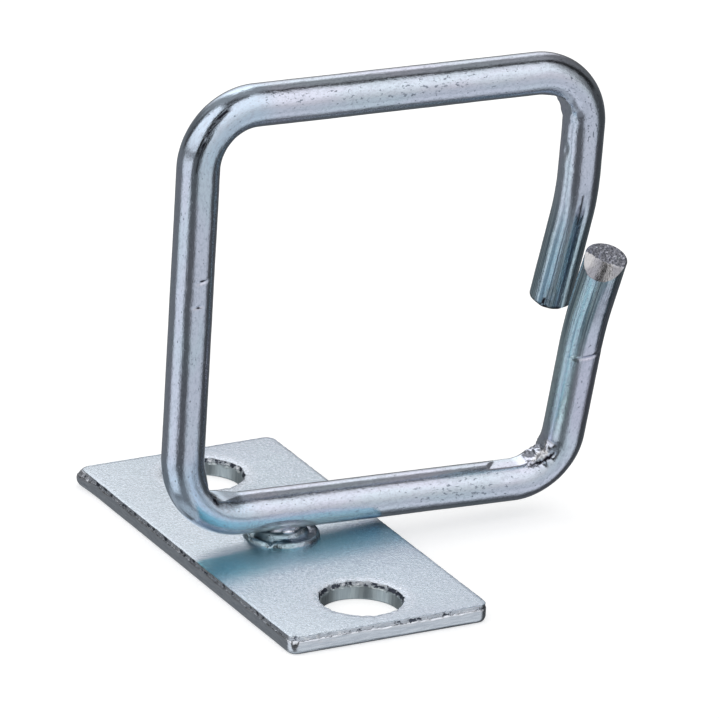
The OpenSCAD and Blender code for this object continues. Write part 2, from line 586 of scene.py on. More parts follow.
# The fold beside the crumpled metal below the mouth: its angle, and where along
# the rod it starts, is at its deepest, begins to fade and ends
FOLD_ANGLE = 145
FOLD_RUN = (20.9, 22.6, 24.8, 26.4)
FOLD_MIDDLE = 23.6
# Its ridge and its groove: angle from the fold, half width and height
FOLD_SHAPE = [(11, 7, 0.12), (0, 4.5, -0.15)]
# The lump over it and its crushed skin: distance, angle, half width along and
# round the rod, and the lump's height
FOLD_LUMP = (22.9, 154, 1.3, 13, 0.22)
CRUSHED = (23.1, 156, 1.7, 17)
# Grooves that the plating did not reach: distance, angle, half width along and
# round the rod
UNPLATED = [
    (95.2, 68, 0.8, 3),
    (96.6, 67, 1.1, 5),
    (98.1, 63, 1.0, 5),
    (99.4, 56, 0.9, 4),
    (100.5, 48, 0.7, 3),
    (148.4, 113, 1.4, 4),
    (60.8, 127, 0.8, 8),
    (60.4, 170, 0.9, 24),
    (84.1, 101, 0.12, 8),
    (81.5, 92, 0.10, 10),
    (158.9, 150, 0.5, 5),
]
# The rim of the upper end, which is half bare
BARE_RIM = (159.0, 159.5)
# Where painted shade darkens the inside of the bend over the plate: starts,
# is full, fades and ends
BEND_SHADE_RUN = (56.2, 57.2, 59.6, 61.0)
# Stretches that were scuffed: distance, angle, half width along and round it
SCUFFS = [(106.4, 72, 3.6, 22), (118, 85, 12, 30), (33, 110, 6, 30), (138, 110, 5, 40)]
SCUFFED_ALL_OVER = 0.25


def run_of(run, along):
    """1 in the middle of a run along the rod, fading at both its ends."""
    start, full, fading, end = run
    return smooth(start, full, along) * smooth(end, fading, along)


def spot(mark, along, turn, swelling=1.0):
    """A rounded spot of height 1 on the rod's skin."""
    place, angle, long, round_it = mark
    return hump(along, place, long * swelling) * hump(turn, angle, round_it * swelling)


def to_inside(x, y):
    """A point of the rod's section, measured towards the inside of the bends
    and to the front of it."""
    inside = -x * math.cos(ROLLED) - y * math.sin(ROLLED)
    aside = y * math.cos(ROLLED) - x * math.sin(ROLLED)
    return inside, aside


def fold_at(along):
    """Angle of the fold, which runs aslant at its lower end and bends away at
    its upper, and how deep it is there, from 0 to 1."""
    angle = FOLD_ANGLE - 5 * max(0.0, 24.6 - along) + 7 * smooth(23.5, 25.8, along)
    return angle, run_of(FOLD_RUN, along)


def scuffing(x, y, along):
    """How scuffed a place is, from 0 to 1."""
    turn = in_degrees(x, y)
    worst = max(spot(scuff, along, turn) for scuff in SCUFFS)
    return SCUFFED_ALL_OVER + (1 - SCUFFED_ALL_OVER) * worst


def plating_gap_and_shade(x, y, along):
    """How bare a place is, from 0 to 1, and the painted shade inside the bend over the plate."""
    turn = in_degrees(x, y)
    ragged = 1 + 0.7 * grain(x, y, along, 0.5, 4)
    bare_and_shade = max(spot(groove, along, turn, ragged) for groove in UNPLATED)
    rim = smooth(*BARE_RIM, along) * (0.5 + grain(x, y, 0, 0.35, 3))
    fold, inside_fold = fold_at(along)
    folded = inside_fold * hump(turn, fold - 1, 5 * ragged)
    inside, _ = to_inside(x, y)
    # Painted shade inside the bend over the plate, laid on at half strength as bare steel
    bend_shade = run_of(BEND_SHADE_RUN, along) * smooth(1.4, 1.7, inside)
    return max(smooth(0.35, 0.6, max(bare_and_shade, rim, folded)), 0.5 * bend_shade)


def crushing(x, y, along):
    """How crushed the metal over the fold is, from 0 to 1."""
    ragged = 0.3 * grain(x, y, along, 0.5, 9) + 0.15 * grain(x, y, along, 0.2, 9)
    return smooth(0.3, 0.5, spot(CRUSHED, along, in_degrees(x, y)) + ragged)


def crumpled(across, out, along):
    """Height of the crumpled metal inside the bends, in mm."""
    inside, _ = to_inside(across, out)
    height = 0.0
    for middle, rough in CRUMPLED:
        if abs(along - middle) < CRUMPLED_REACH:
            rough_here = rough * hump(along, middle, 1.8) * smooth(0.25, 0.7, inside)
            for share, size in CRUMPLES:
                height += share * rough_here * grain(across, out, along / 2, size, middle)
    return height


def pin_marked(x, y, along):
    """Holds a point of the skin, in mm, back to the flat that the pin bit."""
    low, high, depth, fall = PIN_MARK
    inside, aside = to_inside(x, y)
    edge = high + aside
    press = smooth(low - 0.9, low + 0.4, along) * smooth(edge + 0.25, edge - 0.25, along)
    if press == 0:
        return x, y
    over = max(0.0, inside - ROD_RADIUS / MM + depth * press + fall * aside * press)
    return x + over * math.cos(ROLLED), y + over * math.sin(ROLLED)


def rod_skin(x, y, along):
    """Moves a point of the rod's skin, all in mm: draw waves, nicks, crumpled
    metal, the fold beside it and the pin's mark."""
    radius = ROD_RADIUS / MM
    across, out, turn = x / radius, y / radius, in_degrees(x, y)
    swell = sum(
        height * grain(across, out, along / drawn, size, seed)
        for height, drawn, size, seed in DRAW_WAVES
    )
    for place, angle, long, round_it, depth in NICKS:
        if abs(along - place) < 3 * long:
            slant = place + NICK_SLANT * (turn - angle)
            swell -= depth * hump(along, slant, long) * hump(turn, angle, round_it)
    swell += crumpled(across, out, along)
    fold, depth = fold_at(along)
    for aside, half_width, height in FOLD_SHAPE:
        swell += depth * height * hump(turn, fold + aside, half_width)
    swell += FOLD_LUMP[-1] * spot(FOLD_LUMP[:-1], along, turn)
    grow = 1 + swell / radius
    return pin_marked(x * grow, y * grow, along)


def ring_places(length):
    """Places of the rings of vertices along the rod, closer at its marks."""
    marks = [(place, 2.5 * long) for place, _, long, _, _ in NICKS if long < SHORT_NICK]
    marks += [(PIN_MARK[1], 0.8), (FOLD_MIDDLE, 2.2)]
    places = [0.0]
    while places[-1] < length:
        crowd = max(hump(places[-1], place, width) for place, width in marks)
        places.append(min(length, places[-1] + ROD_STEP / (1 + CROWDING * crowd)))
    return places


# The worn rim of the upper end: where it starts, in radii of the rod, and how
# far it falls for each radius, in mm
WORN_FROM = 0.84
WORN_FALL = 1.9
# The lower end was cropped from the side of the mouth that faces away from the
# ring. The blades left two slopes: rise in mm for each radius, the way that it
# falls in degrees, and where it starts, in radii
CROPPED_FROM = math.radians(35)
LEFT_SLOPE = (2.9, -25.6, 0.468)
RIGHT_SLOPE = (3.1, 11.25, 0.566)
# How broken cut metal is, where 0 is skin and 1 is torn
CUT_METAL = 0.45


def worn_end(across, out, length):
    """Height of the upper end's face, in mm along the rod."""
    fall = max(0.0, math.hypot(across, out) - WORN_FROM) * WORN_FALL
    return length - fall + 0.05 * grain(across, out, 3, 0.3, 9) - 0.05


def cropped_end(across, out):
    """Heights of the lower end's torn face and of its cut slopes, in mm."""
    right = math.cos(CROPPED_FROM) * across + math.sin(CROPPED_FROM) * out
    front = math.cos(CROPPED_FROM) * out - math.sin(CROPPED_FROM) * across

    def slope(rise, turn, start):
        fall = math.radians(turn)
        return rise * (math.cos(fall) * front + math.sin(fall) * right - start)

    left, other = slope(*LEFT_SLOPE), slope(*RIGHT_SLOPE)
    cut = (left + other + math.sqrt((left - other) ** 2 + 0.35)) / 2
    cut += 0.03 * grain(across, out, 0, 0.4, 2)
    torn = 0.06 + 0.09 * grain(across, out, 0, 0.3, 5) + 0.08 * grain(across, out, 0, 0.12, 5)
    torn += 0.10 * smooth(0.2, 0.9, right) * grain(math.atan2(front, right) * 4, 0, 0, 1.0, 7)
    return max(torn, (math.hypot(across, out) - 0.9) * 1.6), cut


def crop_ends(across, out, along, length):
    """Cuts both ends of the rod and tells how broken a place then is."""
    worn = worn_end(across, out, length)
    if along >= worn:
        return worn, CUT_METAL
    torn, cut = cropped_end(across, out)
    if along <= max(torn, cut):
        return max(torn, cut), CUT_METAL + (1 - CUT_METAL) * smooth(0.06, -0.04, cut - torn)
    return along, 0.0


def straight_rod(mesh, length):
    """A round bar along Z, with rings of vertices on its side and its ends."""
    bmesh.ops.create_circle(
        mesh, cap_ends=False, segments=ROD_SIDES, radius=ROD_RADIUS
    )
    first = list(mesh.edges)
    far = new_ring(mesh, first)
    bmesh.ops.translate(mesh, verts=list(verts_of(far)), vec=(0, 0, length))
    rings = ring_places(length / MM)
    sides = [e for e in mesh.edges if e not in set(first) | set(far)]
    bmesh.ops.subdivide_edges(
        mesh, edges=sides, cuts=len(rings) - 2, use_grid_fill=True
    )
    for vert in mesh.verts:
        vert.co.z = rings[round(vert.co.z / length * (len(rings) - 1))] * MM
    ends = [
        [e for e in mesh.edges if all(abs(v.co.z - z) < MERGED for v in e.verts)]
        for z in (0.0, length)
    ]
    for loop in ends:
        for step in range(1, END_RINGS):
            share = 1 - step / END_RINGS
            ring = new_ring(mesh, loop)
            for vert in verts_of(ring):
                flat = Vector((vert.co.x, vert.co.y)).normalized() * ROD_RADIUS * share
                vert.co.x, vert.co.y = flat
            loop = ring
        bmesh.ops.contextual_create(mesh, geom=loop)


def make_rod():
    """The straight rod, with its skin marked and its ends cropped, then bent.
    Each point keeps its place on the straight rod, how broken, scuffed and crushed
    it is, and how bare it is, together with painted shade inside the bend over the plate."""
    stretches, length = plan_route()
    mesh = bmesh.new()
    unbent = mesh.verts.layers.float_vector.new("unbent")
    broken = mesh.verts.layers.float.new("broken")
    scuffed = mesh.verts.layers.float.new("scuffed")
    bare_and_shade = mesh.verts.layers.float.new("bare_and_shade")
    crushed = mesh.verts.layers.float.new("crushed")
    straight_rod(mesh, length)
    raised = Matrix.Translation((0, 0, ROD_AXIS_HEIGHT))
    lean = raised @ Matrix.Rotation(RING_LEAN, 4, "Y")
    radius = ROD_RADIUS / MM
    for vert in mesh.verts:
        stretch = next(
            (s for s in stretches if vert.co.z <= s.start + s.length), stretches[-1]
        )
        x, y, along = vert.co / MM
        if math.hypot(x, y) > 0.995 * radius:
            x, y = stretch.pressed(vert.co.x, vert.co.y, vert.co.z)
            x, y = rod_skin(x / MM, y / MM, along)
        along, torn = crop_ends(x / radius, y / radius, along, length / MM)
        vert[unbent] = (x, y, along)
        vert[broken] = torn
        vert[scuffed] = scuffing(x, y, along)
        vert[bare_and_shade] = plating_gap_and_shade(x, y, along)
        vert[crushed] = crushing(x, y, along)
        vert.co = lean @ stretch.bent(x * MM, y * MM, along * MM)
    bmesh.ops.remove_doubles(mesh, verts=mesh.verts, dist=MERGED)
    return finished(mesh, "bent_rod", crease=32)


# --------------------------------------------------------------------- the plate

PLATE_CORNER = 1.05 * MM
OUTLINE_STEP = 0.2 * MM
HOLE_SIDES = 144
# The blank was sheared from below: how far its lower edge was rolled in, in mm,
# up to which share of the thickness, and the share from which it tore
ROLLED_IN = 0.42
ROLLED_UP_TO = 0.34
TORN_FROM = 0.72
# The same for the punched holes, in mm and as shares
HOLE_ROLLED_IN = 0.2
HOLE_ROLLED_UP_TO = 0.11
HOLE_TORN_FROM = 0.76
# The upper edge of the outline: the drop of its face in mm, and how far in
EDGE_DROP = 0.05
EDGE_WIDTH = 0.5 * MM
EDGE_RINGS = 7
# The corner that was pushed out as the blank was cut: how far, and its reach,
# in mm
BULGE = 0.55
BULGE_REACH = 4.0
# The face drawn in round a hole runs true at its outer edge, where it is
# measured from a circle this much wider than the hole
TRUE_MARGIN = 0.2 * MM
FRONT_HOLE_SEED = 4
REAR_HOLE_SEED = 11


def outline_length():
    """Length of the plate's outline and of the straights of its two sides."""
    wide = plate_high.x - plate_low.x - 2 * PLATE_CORNER
    long = plate_high.y - plate_low.y - 2 * PLATE_CORNER
    return 2 * (wide + long) + math.tau * PLATE_CORNER, wide, long


def outline(run):
    """A point of the plate's outline and the way out from it, by distance."""
    _, wide, long = outline_length()
    quarter = math.pi / 2 * PLATE_CORNER
    sides = [(long, 1, -1), (wide, 1, 1), (long, -1, 1), (wide, -1, -1)]
    for i, (side, right, back) in enumerate(sides):
        turn = Matrix.Rotation(i * math.pi / 2, 2)
        centre = Vector((right * wide / 2, back * long / 2))
        if run <= quarter:
            angle = -math.pi / 2 + run / PLATE_CORNER
            out = turn @ Vector((math.cos(angle), math.sin(angle)))
            return centre + out * PLATE_CORNER, out
        run -= quarter
        if run <= side:
            out = turn @ Vector((1, 0))
            return centre + out * PLATE_CORNER + turn @ Vector((0, run)), out
        run -= side
    return Vector((wide / 2, -long / 2 - PLATE_CORNER)), Vector((0, -1))


def rolled(part, up_to):
    """Share of the roll-in left at a share of the thickness."""
    return 1 - math.sqrt(1 - max(0.0, 1 - part / up_to) ** 2)


def sheared(run, part):
    """How far the outline's wall stands in from true, in mm, at a share of the
    thickness: rolled at the bottom, then clean, then torn up to the top."""
    tear = TORN_FROM + 0.10 * grain(run, 0, 2, 1.8) + 0.07 * grain(run, 3, 2, 0.5)
    torn = smooth(tear - 0.02, tear + 0.05, part)
    inset = ROLLED_IN * rolled(part, ROLLED_UP_TO)
    inset += torn * (0.07 + 0.09 * abs(grain(run, part * 3, 2, 0.35)))
    inset += 0.022 * grain(run / 5, part * 9, 2, 1.0)
    return inset


# Heights of the rings in a cut wall, as shares of the thickness
WALL_HEIGHTS = [0.0, 0.02, 0.05, 0.09, 0.14, 0.19, 0.24, 0.29, 0.34, 0.38, 0.42, 0.46, 0.5]
WALL_HEIGHTS += [0.54, 0.58, 0.62, 0.66, 0.69, 0.72, 0.75, 0.78, 0.81, 0.85, 0.89, 0.93]
WALL_HEIGHTS += [0.96, 0.985, 1.0]


def plate_outline_loop(mesh, run_layer):
    """A loop of vertices that know their distance along the outline."""
    total, _, _ = outline_length()
    count = round(total / OUTLINE_STEP)
    bmesh.ops.create_circle(mesh, cap_ends=False, segments=count, radius=1.0)
    loop = list(mesh.edges)
    for i, vert in enumerate(mesh.verts):
        vert[run_layer] = total * i / count
    return loop


def corner_bulge(point):
    """How far the back corner on the closed side stands out, in mm."""
    corner = Vector((plate_low.x, plate_high.y))
    return BULGE * smooth(BULGE_REACH, 0.0, (point - corner).length / MM)


# Notches that the blades left in the front edge: distance back along the
# outline from the front corner below the mouth, half width and depth in mm
NOTCHES = [
    (19.0, 0.20, 0.30),
    (16.4, 0.18, 0.13),
    (15.2, 0.35, 0.09),
    (7.3, 0.10, 0.14),
    (3.6, 0.14, 0.10),
]


def place_outline(vert, run, part):
    """Puts a vertex on the outline's wall at a share of the thickness."""
    point, out = outline(run)
    inset = sheared(run / MM, part)
    inset -= corner_bulge(point) * part * (1 - part) * 4
    total = outline_length()[0] / MM
    for place, width, depth in NOTCHES:
        inset += depth * hump(run / MM, total - place, width) * smooth(0.3, 0.9, part)
    point = point - out * inset * MM
    vert.co = (point.x, point.y, part * PLATE_THICKNESS)


def hole_radius_at(angle, part, seed):
    """Radius of a hole's wall at a share of the thickness: rolled below, then
    clean, then torn and chipped up to the top."""
    wave = (math.cos(angle) * 3.7, math.sin(angle) * 3.7)
    tear = HOLE_TORN_FROM + 0.12 * grain(*wave, seed, 0.9)
    tear += 0.08 * grain(*wave, seed + 9, 0.3)
    grow = HOLE_ROLLED_IN * rolled(part, HOLE_ROLLED_UP_TO)
    torn = smooth(tear - 0.02, tear + 0.04, part)
    above_tear = max(0.0, part - tear) / (1 - tear)
    chip = smooth(0.05, 0.4, grain(*wave, seed + 3, 0.5))
    grow += torn * (0.03 + 0.20 * above_tear + 0.12 * chip)
    grow += torn * 0.06 * grain(*wave, part * 6 + seed, 0.3)
    grow += 0.007 * grain(wave[0] * 4, wave[1] * 4, seed, 1.0)
    return HOLE_RADIUS + grow * MM


# Rings round a hole's top edge: distance from it and depth below the sheet's
# face in mm, falling away to the edge as the punch drew it
DRAWN_IN = [
    (step / 14, 0.075 * (1 - step / 12) ** 2 + 0.003 * math.sin(step * 2.4))
    for step in range(13)
]


def make_hole(mesh, run_layer, centre, seed):
    """A hole's wall and the drawn-in face round it; gives its outer loops."""
    before = set(mesh.edges)
    bmesh.ops.create_circle(
        mesh, cap_ends=False, segments=HOLE_SIDES, radius=HOLE_RADIUS
    )
    loop = [e for e in mesh.edges if e not in before]
    for vert in verts_of(loop):
        vert[run_layer] = math.atan2(vert.co.y, vert.co.x)

    def place(vert, height, radius):
        angle = vert[run_layer]
        vert.co = (radius * math.cos(angle), centre + radius * math.sin(angle), height)

    bottom = loop
    for i, part in enumerate(WALL_HEIGHTS):
        if i:
            loop = new_ring(mesh, loop)
        top = PLATE_THICKNESS - DRAWN_IN[0][1] * MM
        for vert in verts_of(loop):
            place(vert, part * top, hole_radius_at(vert[run_layer], part, seed))
    for step, drop in DRAWN_IN[1:]:
        loop = new_ring(mesh, loop)
        for vert in verts_of(loop):
            angle = vert[run_layer]
            rim = hole_radius_at(angle, 1.0, seed)
            rough = 0.05 * (1 - step) ** 2
            drop_here = drop + rough * grain(math.cos(angle) * 4, math.sin(angle) * 4, seed, 0.35)
            rim += (HOLE_RADIUS + TRUE_MARGIN - rim) * step
            place(vert, PLATE_THICKNESS - max(0.0, drop_here) * MM, rim + step * MM)
    for vert in verts_of(loop):
        vert.co.z = PLATE_THICKNESS
    return loop, bottom


def make_rim(mesh, run_layer):
    """The outline's wall and its dropped upper edge; gives its inner loops."""
    loop = plate_outline_loop(mesh, run_layer)
    bottom = loop
    for i, part in enumerate(WALL_HEIGHTS):
        if i:
            loop = new_ring(mesh, loop)
        for vert in verts_of(loop):
            place_outline(vert, vert[run_layer], part)
    edge = {vert[run_layer]: vert.co.copy() for vert in verts_of(loop)}
    for vert in verts_of(loop):
        vert.co.z -= EDGE_DROP * MM
    for step in range(1, EDGE_RINGS + 1):
        share = step / EDGE_RINGS
        loop = new_ring(mesh, loop)
        for vert in verts_of(loop):
            run = vert[run_layer]
            point, out = outline(run)
            place = edge[run].xy.lerp(point - out * EDGE_WIDTH, share)
            drop = EDGE_DROP * (1 - share) ** 2 * (1 + 0.9 * grain(run / MM, share, 0, 0.4))
            vert.co = (place.x, place.y, PLATE_THICKNESS - max(0.0, drop) * MM)
    return loop, bottom


def make_plate():
    mesh = bmesh.new()
    run_layer = mesh.verts.layers.float.new("run")
    tops, bottoms = map(list, make_rim(mesh, run_layer))
    holes = ((-HOLE_PITCH / 2, FRONT_HOLE_SEED), (HOLE_PITCH / 2, REAR_HOLE_SEED))
    for centre, seed in holes:
        top, low = make_hole(mesh, run_layer, centre, seed)
        tops += top
        bottoms += low
    bmesh.ops.triangle_fill(mesh, use_beauty=True, edges=tops)
    bmesh.ops.triangle_fill(mesh, use_beauty=True, edges=bottoms)
    return finished(mesh, "punched_plate", crease=35)


# ---------------------------------------------------------------------- the weld

# Half section of the flash: distance from its middle and height over the
# plate, in mm: a thin rim, a shallow pool and the neck under the rod
WELD_SECTION = [
    (3.60, -0.05),
    (3.62, 0.10),
    (3.58, 0.26),
    (3.50, 0.42),
    (3.40, 0.50),
    (3.30, 0.48),
    (3.22, 0.38),
    (3.12, 0.27),
    (2.95, 0.20),
    (2.65, 0.17),
    (2.35, 0.17),
    (2.05, 0.19),
    (1.82, 0.26),
    (1.64, 0.42),
    (1.52, 0.66),
    (1.44, 0.95),
    (1.39, 1.25),
    (1.35, 1.55),
]
WELD_STEPS = 180
# How far the crest of the rim and its outer side are from the middle, in mm
CREST = 3.4
OUTER_SIDE = 3.6
# The kink in the rim: its angle and half width in degrees, and its depth
KINK = (-136, 3.5, 0.24)
# How far the neck is drawn out along the rod
NECK_DRAWN = 0.62
# The bead that was spat out beside the neck: its middle over the table and its
# half widths, in mm
BEAD_AT = Vector((-0.1, -1.66, 2.76))
BEAD_HALF = Vector((0.68, 0.3, 0.24))


def in_pool(reach):
    """1 inside the rim, 0 on it."""
    return smooth(3.3, 2.8, reach)


def crack_beside(x, y, reach):
    """Distance from the crack that runs in from the kink towards the mouth
    side, and how open it is, from 0 to 1."""
    crack = y + 2.4 - 0.67 * (x + 2.5) + 0.12 * grain(x, 0, 0, 0.4, 1)
    span = smooth(-2.9, -2.5, x) * smooth(-0.1, -0.5, x) * smooth(1.9, 2.2, reach)
    return crack, in_pool(reach) * span


def flash_lift(x, y):
    """How far the flash stands above its section, in mm."""
    reach, turn = math.hypot(x, y), math.degrees(math.atan2(y, x))
    kink_at, kink_width, kink_depth = KINK
    crest = hump(reach, CREST, 0.35)
    lift = 0.09 * crest * grain(3 * x / reach, 3 * y / reach, 0, 0.9, 4)
    lift -= kink_depth * crest * hump(turn, kink_at, kink_width)
    ripple = 0.06 * grain(x, y, 0, 1.3, 6) + 0.02 * grain(x, y, 0, 0.35, 2)
    lift += in_pool(reach) * ripple
    crack, opened = crack_beside(x, y, reach)
    return lift + opened * (0.09 * smooth(0.1, -0.25, crack) - 0.12 * hump(crack, 0, 0.12))


def flash_shade(x, y, z):
    """How much painted shade the flash gets, from 0 to 1: on the closed side of the pool,
    outside the rim, in the crack, round the bead and under the rod."""
    reach, turn = math.hypot(x, y), math.degrees(math.atan2(y, x))
    pool = in_pool(reach)
    left = hump(x, -2.2, 0.9) * hump(y, -0.5, 1.2) * pool
    outside = hump(reach, OUTER_SIDE, 0.25) * smooth(-50, -30, turn) * smooth(60, 40, turn)
    crack, opened = crack_beside(x, y, reach)
    from_bead = math.hypot((x - BEAD_AT.x) / BEAD_HALF.x, (z - BEAD_AT.z) / BEAD_HALF.z)
    round_bead = hump(from_bead, 1.5, 0.3) * pool * smooth(2.0, 1.7, reach)
    seam = hump(z, 2.62 + 0.08 * grain(x, 0, 0, 0.7, 2), 0.09) * smooth(2.0, 1.6, reach)
    return max(left, outside, opened * hump(crack, 0, 0.14), round_bead, seam)


def spun_flash(mesh):
    """The half section turned into a full ring, open where it ends in plate and rod."""
    verts = [
        mesh.verts.new((r * MM, 0, PLATE_THICKNESS + z * MM)) for r, z in WELD_SECTION
    ]
    edges = [mesh.edges.new(pair) for pair in zip(verts, verts[1:])]
    bmesh.ops.spin(
        mesh,
        geom=verts + edges,
        cent=(0, 0, 0),
        axis=(0, 0, 1),
        dvec=(0, 0, 0),
        angle=math.tau,
        steps=WELD_STEPS,
        use_merge=True,
        use_duplicate=False,
    )
    bmesh.ops.subdivide_edges(mesh, edges=mesh.edges, cuts=1, use_grid_fill=True)


def make_weld():
    mesh = bmesh.new()
    weld_shade = mesh.verts.layers.float.new("weld_shade")
    spun_flash(mesh)
    for vert in mesh.verts:
        x, y, z = vert.co / MM
        reach = math.hypot(x, y)
        # painted shade for each point of the flash
        vert[weld_shade] = flash_shade(x, y, z)
        over_plate = z - PLATE_THICKNESS / MM
        side = 0.05 * grain(x, y, z, 0.6, 3) * smooth(-0.05, 0.2, over_plate)
        lift = flash_lift(x, y) * smooth(0.0, 0.2, over_plate)
        drawn = NECK_DRAWN * smooth(2.6, 1.5, reach) * x
        vert.co += Vector((x / reach * side + drawn, y / reach * side, lift)) * MM
    for vert in bmesh.ops.create_icosphere(mesh, subdivisions=4, radius=1.0)["verts"]:
        bumpy = 1 + 0.14 * grain(*vert.co, 0.8, 5)
        swollen = Vector((vert.co.x * bumpy, vert.co.y, vert.co.z * bumpy))
        vert.co = (BEAD_AT + swollen * BEAD_HALF) * MM
    return finished(mesh, "weld_flash", crease=60)


# ----------------------------------------------------------------- the materials


def metal(name, build):
    """A metal whose inputs are worked out by a function of its node graph."""
    material = bpy.data.materials.new(name)
    graph = Graph(material)
    inputs = build(graph)
    surface = graph.node("ShaderNodeBsdfPrincipled", {}, {"Metallic": 1.0, **inputs})
    graph.node("ShaderNodeOutputMaterial", {}, {"Surface": surface})
    return material


def bump(graph, height, distance):
    return graph.node(
        "ShaderNodeBump", {}, {"Height": height, "Distance": distance, "Strength": 1.0}
    )


# Bright zinc on the rod, from violet to blue, the films that tint it, and painted light
VIOLET_ZINC = colour(0.69, 0.71, 0.83)
BLUE_ZINC = colour(0.65, 0.73, 0.82)
# Painted reflection: pale whitish teal for the underside over the plate, standing in for the
# plate's light
UNDERSIDE_REFLECTION_TINT = colour(0.82, 0.94, 0.95)
TIP_FILM = colour(0.60, 0.78, 0.84)
GREEN_FILM = colour(0.66, 0.86, 0.90)
VIOLET_FILM = colour(0.62, 0.60, 0.74)
BENT_FILM = colour(0.56, 0.72, 0.86)
DULL_ZINC = colour(0.50, 0.53, 0.63)
PIT_GREY = colour(0.20, 0.23, 0.29)
DIE_STREAK = colour(0.14, 0.24, 0.31)
# Crushed zinc with a painted highlight: near white, for the crumple that faces the lights
CRUSHED_ZINC_HIGHLIGHT = colour(0.97, 0.97, 1.0)
CUT_LIGHT = colour(0.62, 0.61, 0.62)
CUT_DARK = colour(0.38, 0.38, 0.42)
TORN_DARK = colour(0.26, 0.27, 0.33)
TORN_LIGHT = colour(0.58, 0.59, 0.66)
# Black bare steel, also laid on at half strength as painted shade inside the bend over the plate
BARE_STEEL_AND_SHADE = colour(0.02, 0.02, 0.03)


def rod_films_and_reflection(graph, place, low, tips):
    """The zinc's tints: palest and greenest underneath, a painted reflection of the plate,
    and films of their own at both tips, on the lower limb and in two of the bends.
    Also gives the colour of cut metal."""
    across, _, along = graph.split(place)
    tint = graph.streaks(place, (0.5, 0.5, 0.10), 2.0)
    limb = along.smooth(21, 17) * along.smooth(0.5, 3)
    bent = along.within(95, 103.5, 1.5) + along.within(56, 66, 1.5)
    silver = graph.layered(
        VIOLET_ZINC,
        (tint.smooth(0.40, 0.66), BLUE_ZINC),
        # painted reflection of the plate on the rod's underside
        (low * 0.9, UNDERSIDE_REFLECTION_TINT),
        (tips * 0.7, TIP_FILM),
        (limb * across.smooth(-0.9, -1.3) * 0.8, GREEN_FILM),
        (limb * across.smooth(-0.9, -0.5) * 0.7, VIOLET_FILM),
        (bent * 0.6, BENT_FILM),
    )
    return silver, graph.mix(tint.smooth(0.42, 0.6), CUT_LIGHT, CUT_DARK)


def drawn_rod(graph):
    """Bright zinc over drawn rod: fine lines along it, pits, dull patches and
    films of blue and green, cut or torn metal at its ends, and bare grooves; with a
    painted reflection on its underside over the plate, a painted highlight on its
    crushed zinc and painted shade inside the bend over the plate."""
    place = graph.node("ShaderNodeAttribute", {"attribute_name": "unbent"}, {}, "Vector")
    _, _, along = graph.split(place)
    _, _, height = graph.split(graph.place_in_mm())
    broken, scuffed, bare_and_shade, crushed = map(
        graph.mark, ("broken", "scuffed", "bare_and_shade", "crushed")
    )
    cut = broken.smooth(0.1, 0.4)
    torn = broken.smooth(0.6, 0.9)
    # Painted reflection: the underside over the plate turns pale and less metallic, so that it
    # looks lit by the plate
    low = height.smooth(4.6, 2.7) * along.within(45, 64, 5)
    tips = graph.math("MAXIMUM", along.smooth(13, 6), along.smooth(146, 153))
    dies = graph.streaks(place, (4.5, 4.5, 0.05), 2.0)
    lines = graph.streaks(place, (3.0, 3.0, 0.14), 4.0, 0.65)
    mottle = graph.streaks(place, (4.4, 4.4, 2.2), 4.0, 0.75)
    pits = graph.streaks(place, (4.2, 4.2, 2.4), 2.0) + scuffed * 0.12
    pits = pits.smooth(0.69, 0.79)
    silver, cut_metal = rod_films_and_reflection(graph, place, low, tips)
    base = graph.layered(
        silver,
        (mottle.smooth(0.44, 0.68) * 0.62, DULL_ZINC),
        (pits * 0.8, PIT_GREY),
        (tips * dies.smooth(0.47, 0.58) * 0.75, DIE_STREAK),
        # crushed zinc, rougher, and painted near white as a highlight
        (crushed * mottle.smooth(0.8, 0.6), CRUSHED_ZINC_HIGHLIGHT),
        (cut, cut_metal),
        (torn, graph.mix(dies.smooth(0.4, 0.6), TORN_DARK, TORN_LIGHT)),
        # bare grooves, and painted shade inside the bend over the plate
        (bare_and_shade, BARE_STEEL_AND_SHADE),
    )
    relief = lines * (0.8 + 1.8 * tips) + mottle * 1.2 - pits * 0.6
    rough = torn * 0.2 + cut * 0.1 + crushed * 0.3 + bare_and_shade * 0.4
    return {
        "Base Color": base,
        # less metallic under the painted reflection of the plate
        "Metallic": 1.0 - low * 0.65,
        "Roughness": 0.045 + mottle * 0.07 + pits * 0.2 + rough,
        "Normal": bump(graph, relief, 0.013 * MM),
    }


# Satin zinc on the plate's faces, bluer and lighter on the closed side, with painted
# shade darker towards the mouth side and darkest at the mouth side's ends
LIT_CLOSED_SIDE_ZINC = colour(0.66, 0.73, 0.81)
SHADED_MOUTH_SIDE_ZINC = colour(0.58, 0.65, 0.735)
SHADED_END_ZINC = colour(0.53, 0.58, 0.67)
CLOUDED_ZINC = colour(0.60, 0.70, 0.76)
# Painted reflection and shadow of the rod: a dark blue-green band on the plate
ROD_REFLECTION_AND_SHADOW = colour(0.12, 0.47, 0.57)
# Painted highlight on the drawn-in lip round each hole
LIP_HIGHLIGHT_ZINC = colour(0.80, 0.82, 0.89)
DARK_GRAIN = colour(0.42, 0.48, 0.56)
BRIGHT_GRAIN = colour(0.88, 0.91, 0.97)
# Its sheared walls and punched bores, each from dark to light, and their tears
WALL_DARK = colour(0.66, 0.69, 0.76)
WALL_LIGHT = colour(0.80, 0.83, 0.89)
BORE_DARK = colour(0.46, 0.52, 0.55)
BORE_LIGHT = colour(0.60, 0.66, 0.68)
TEAR_GREY = colour(0.62, 0.65, 0.72)
TEAR_SHADE = colour(0.08, 0.09, 0.12)
TEAR_GLINT = colour(0.92, 0.93, 0.97)


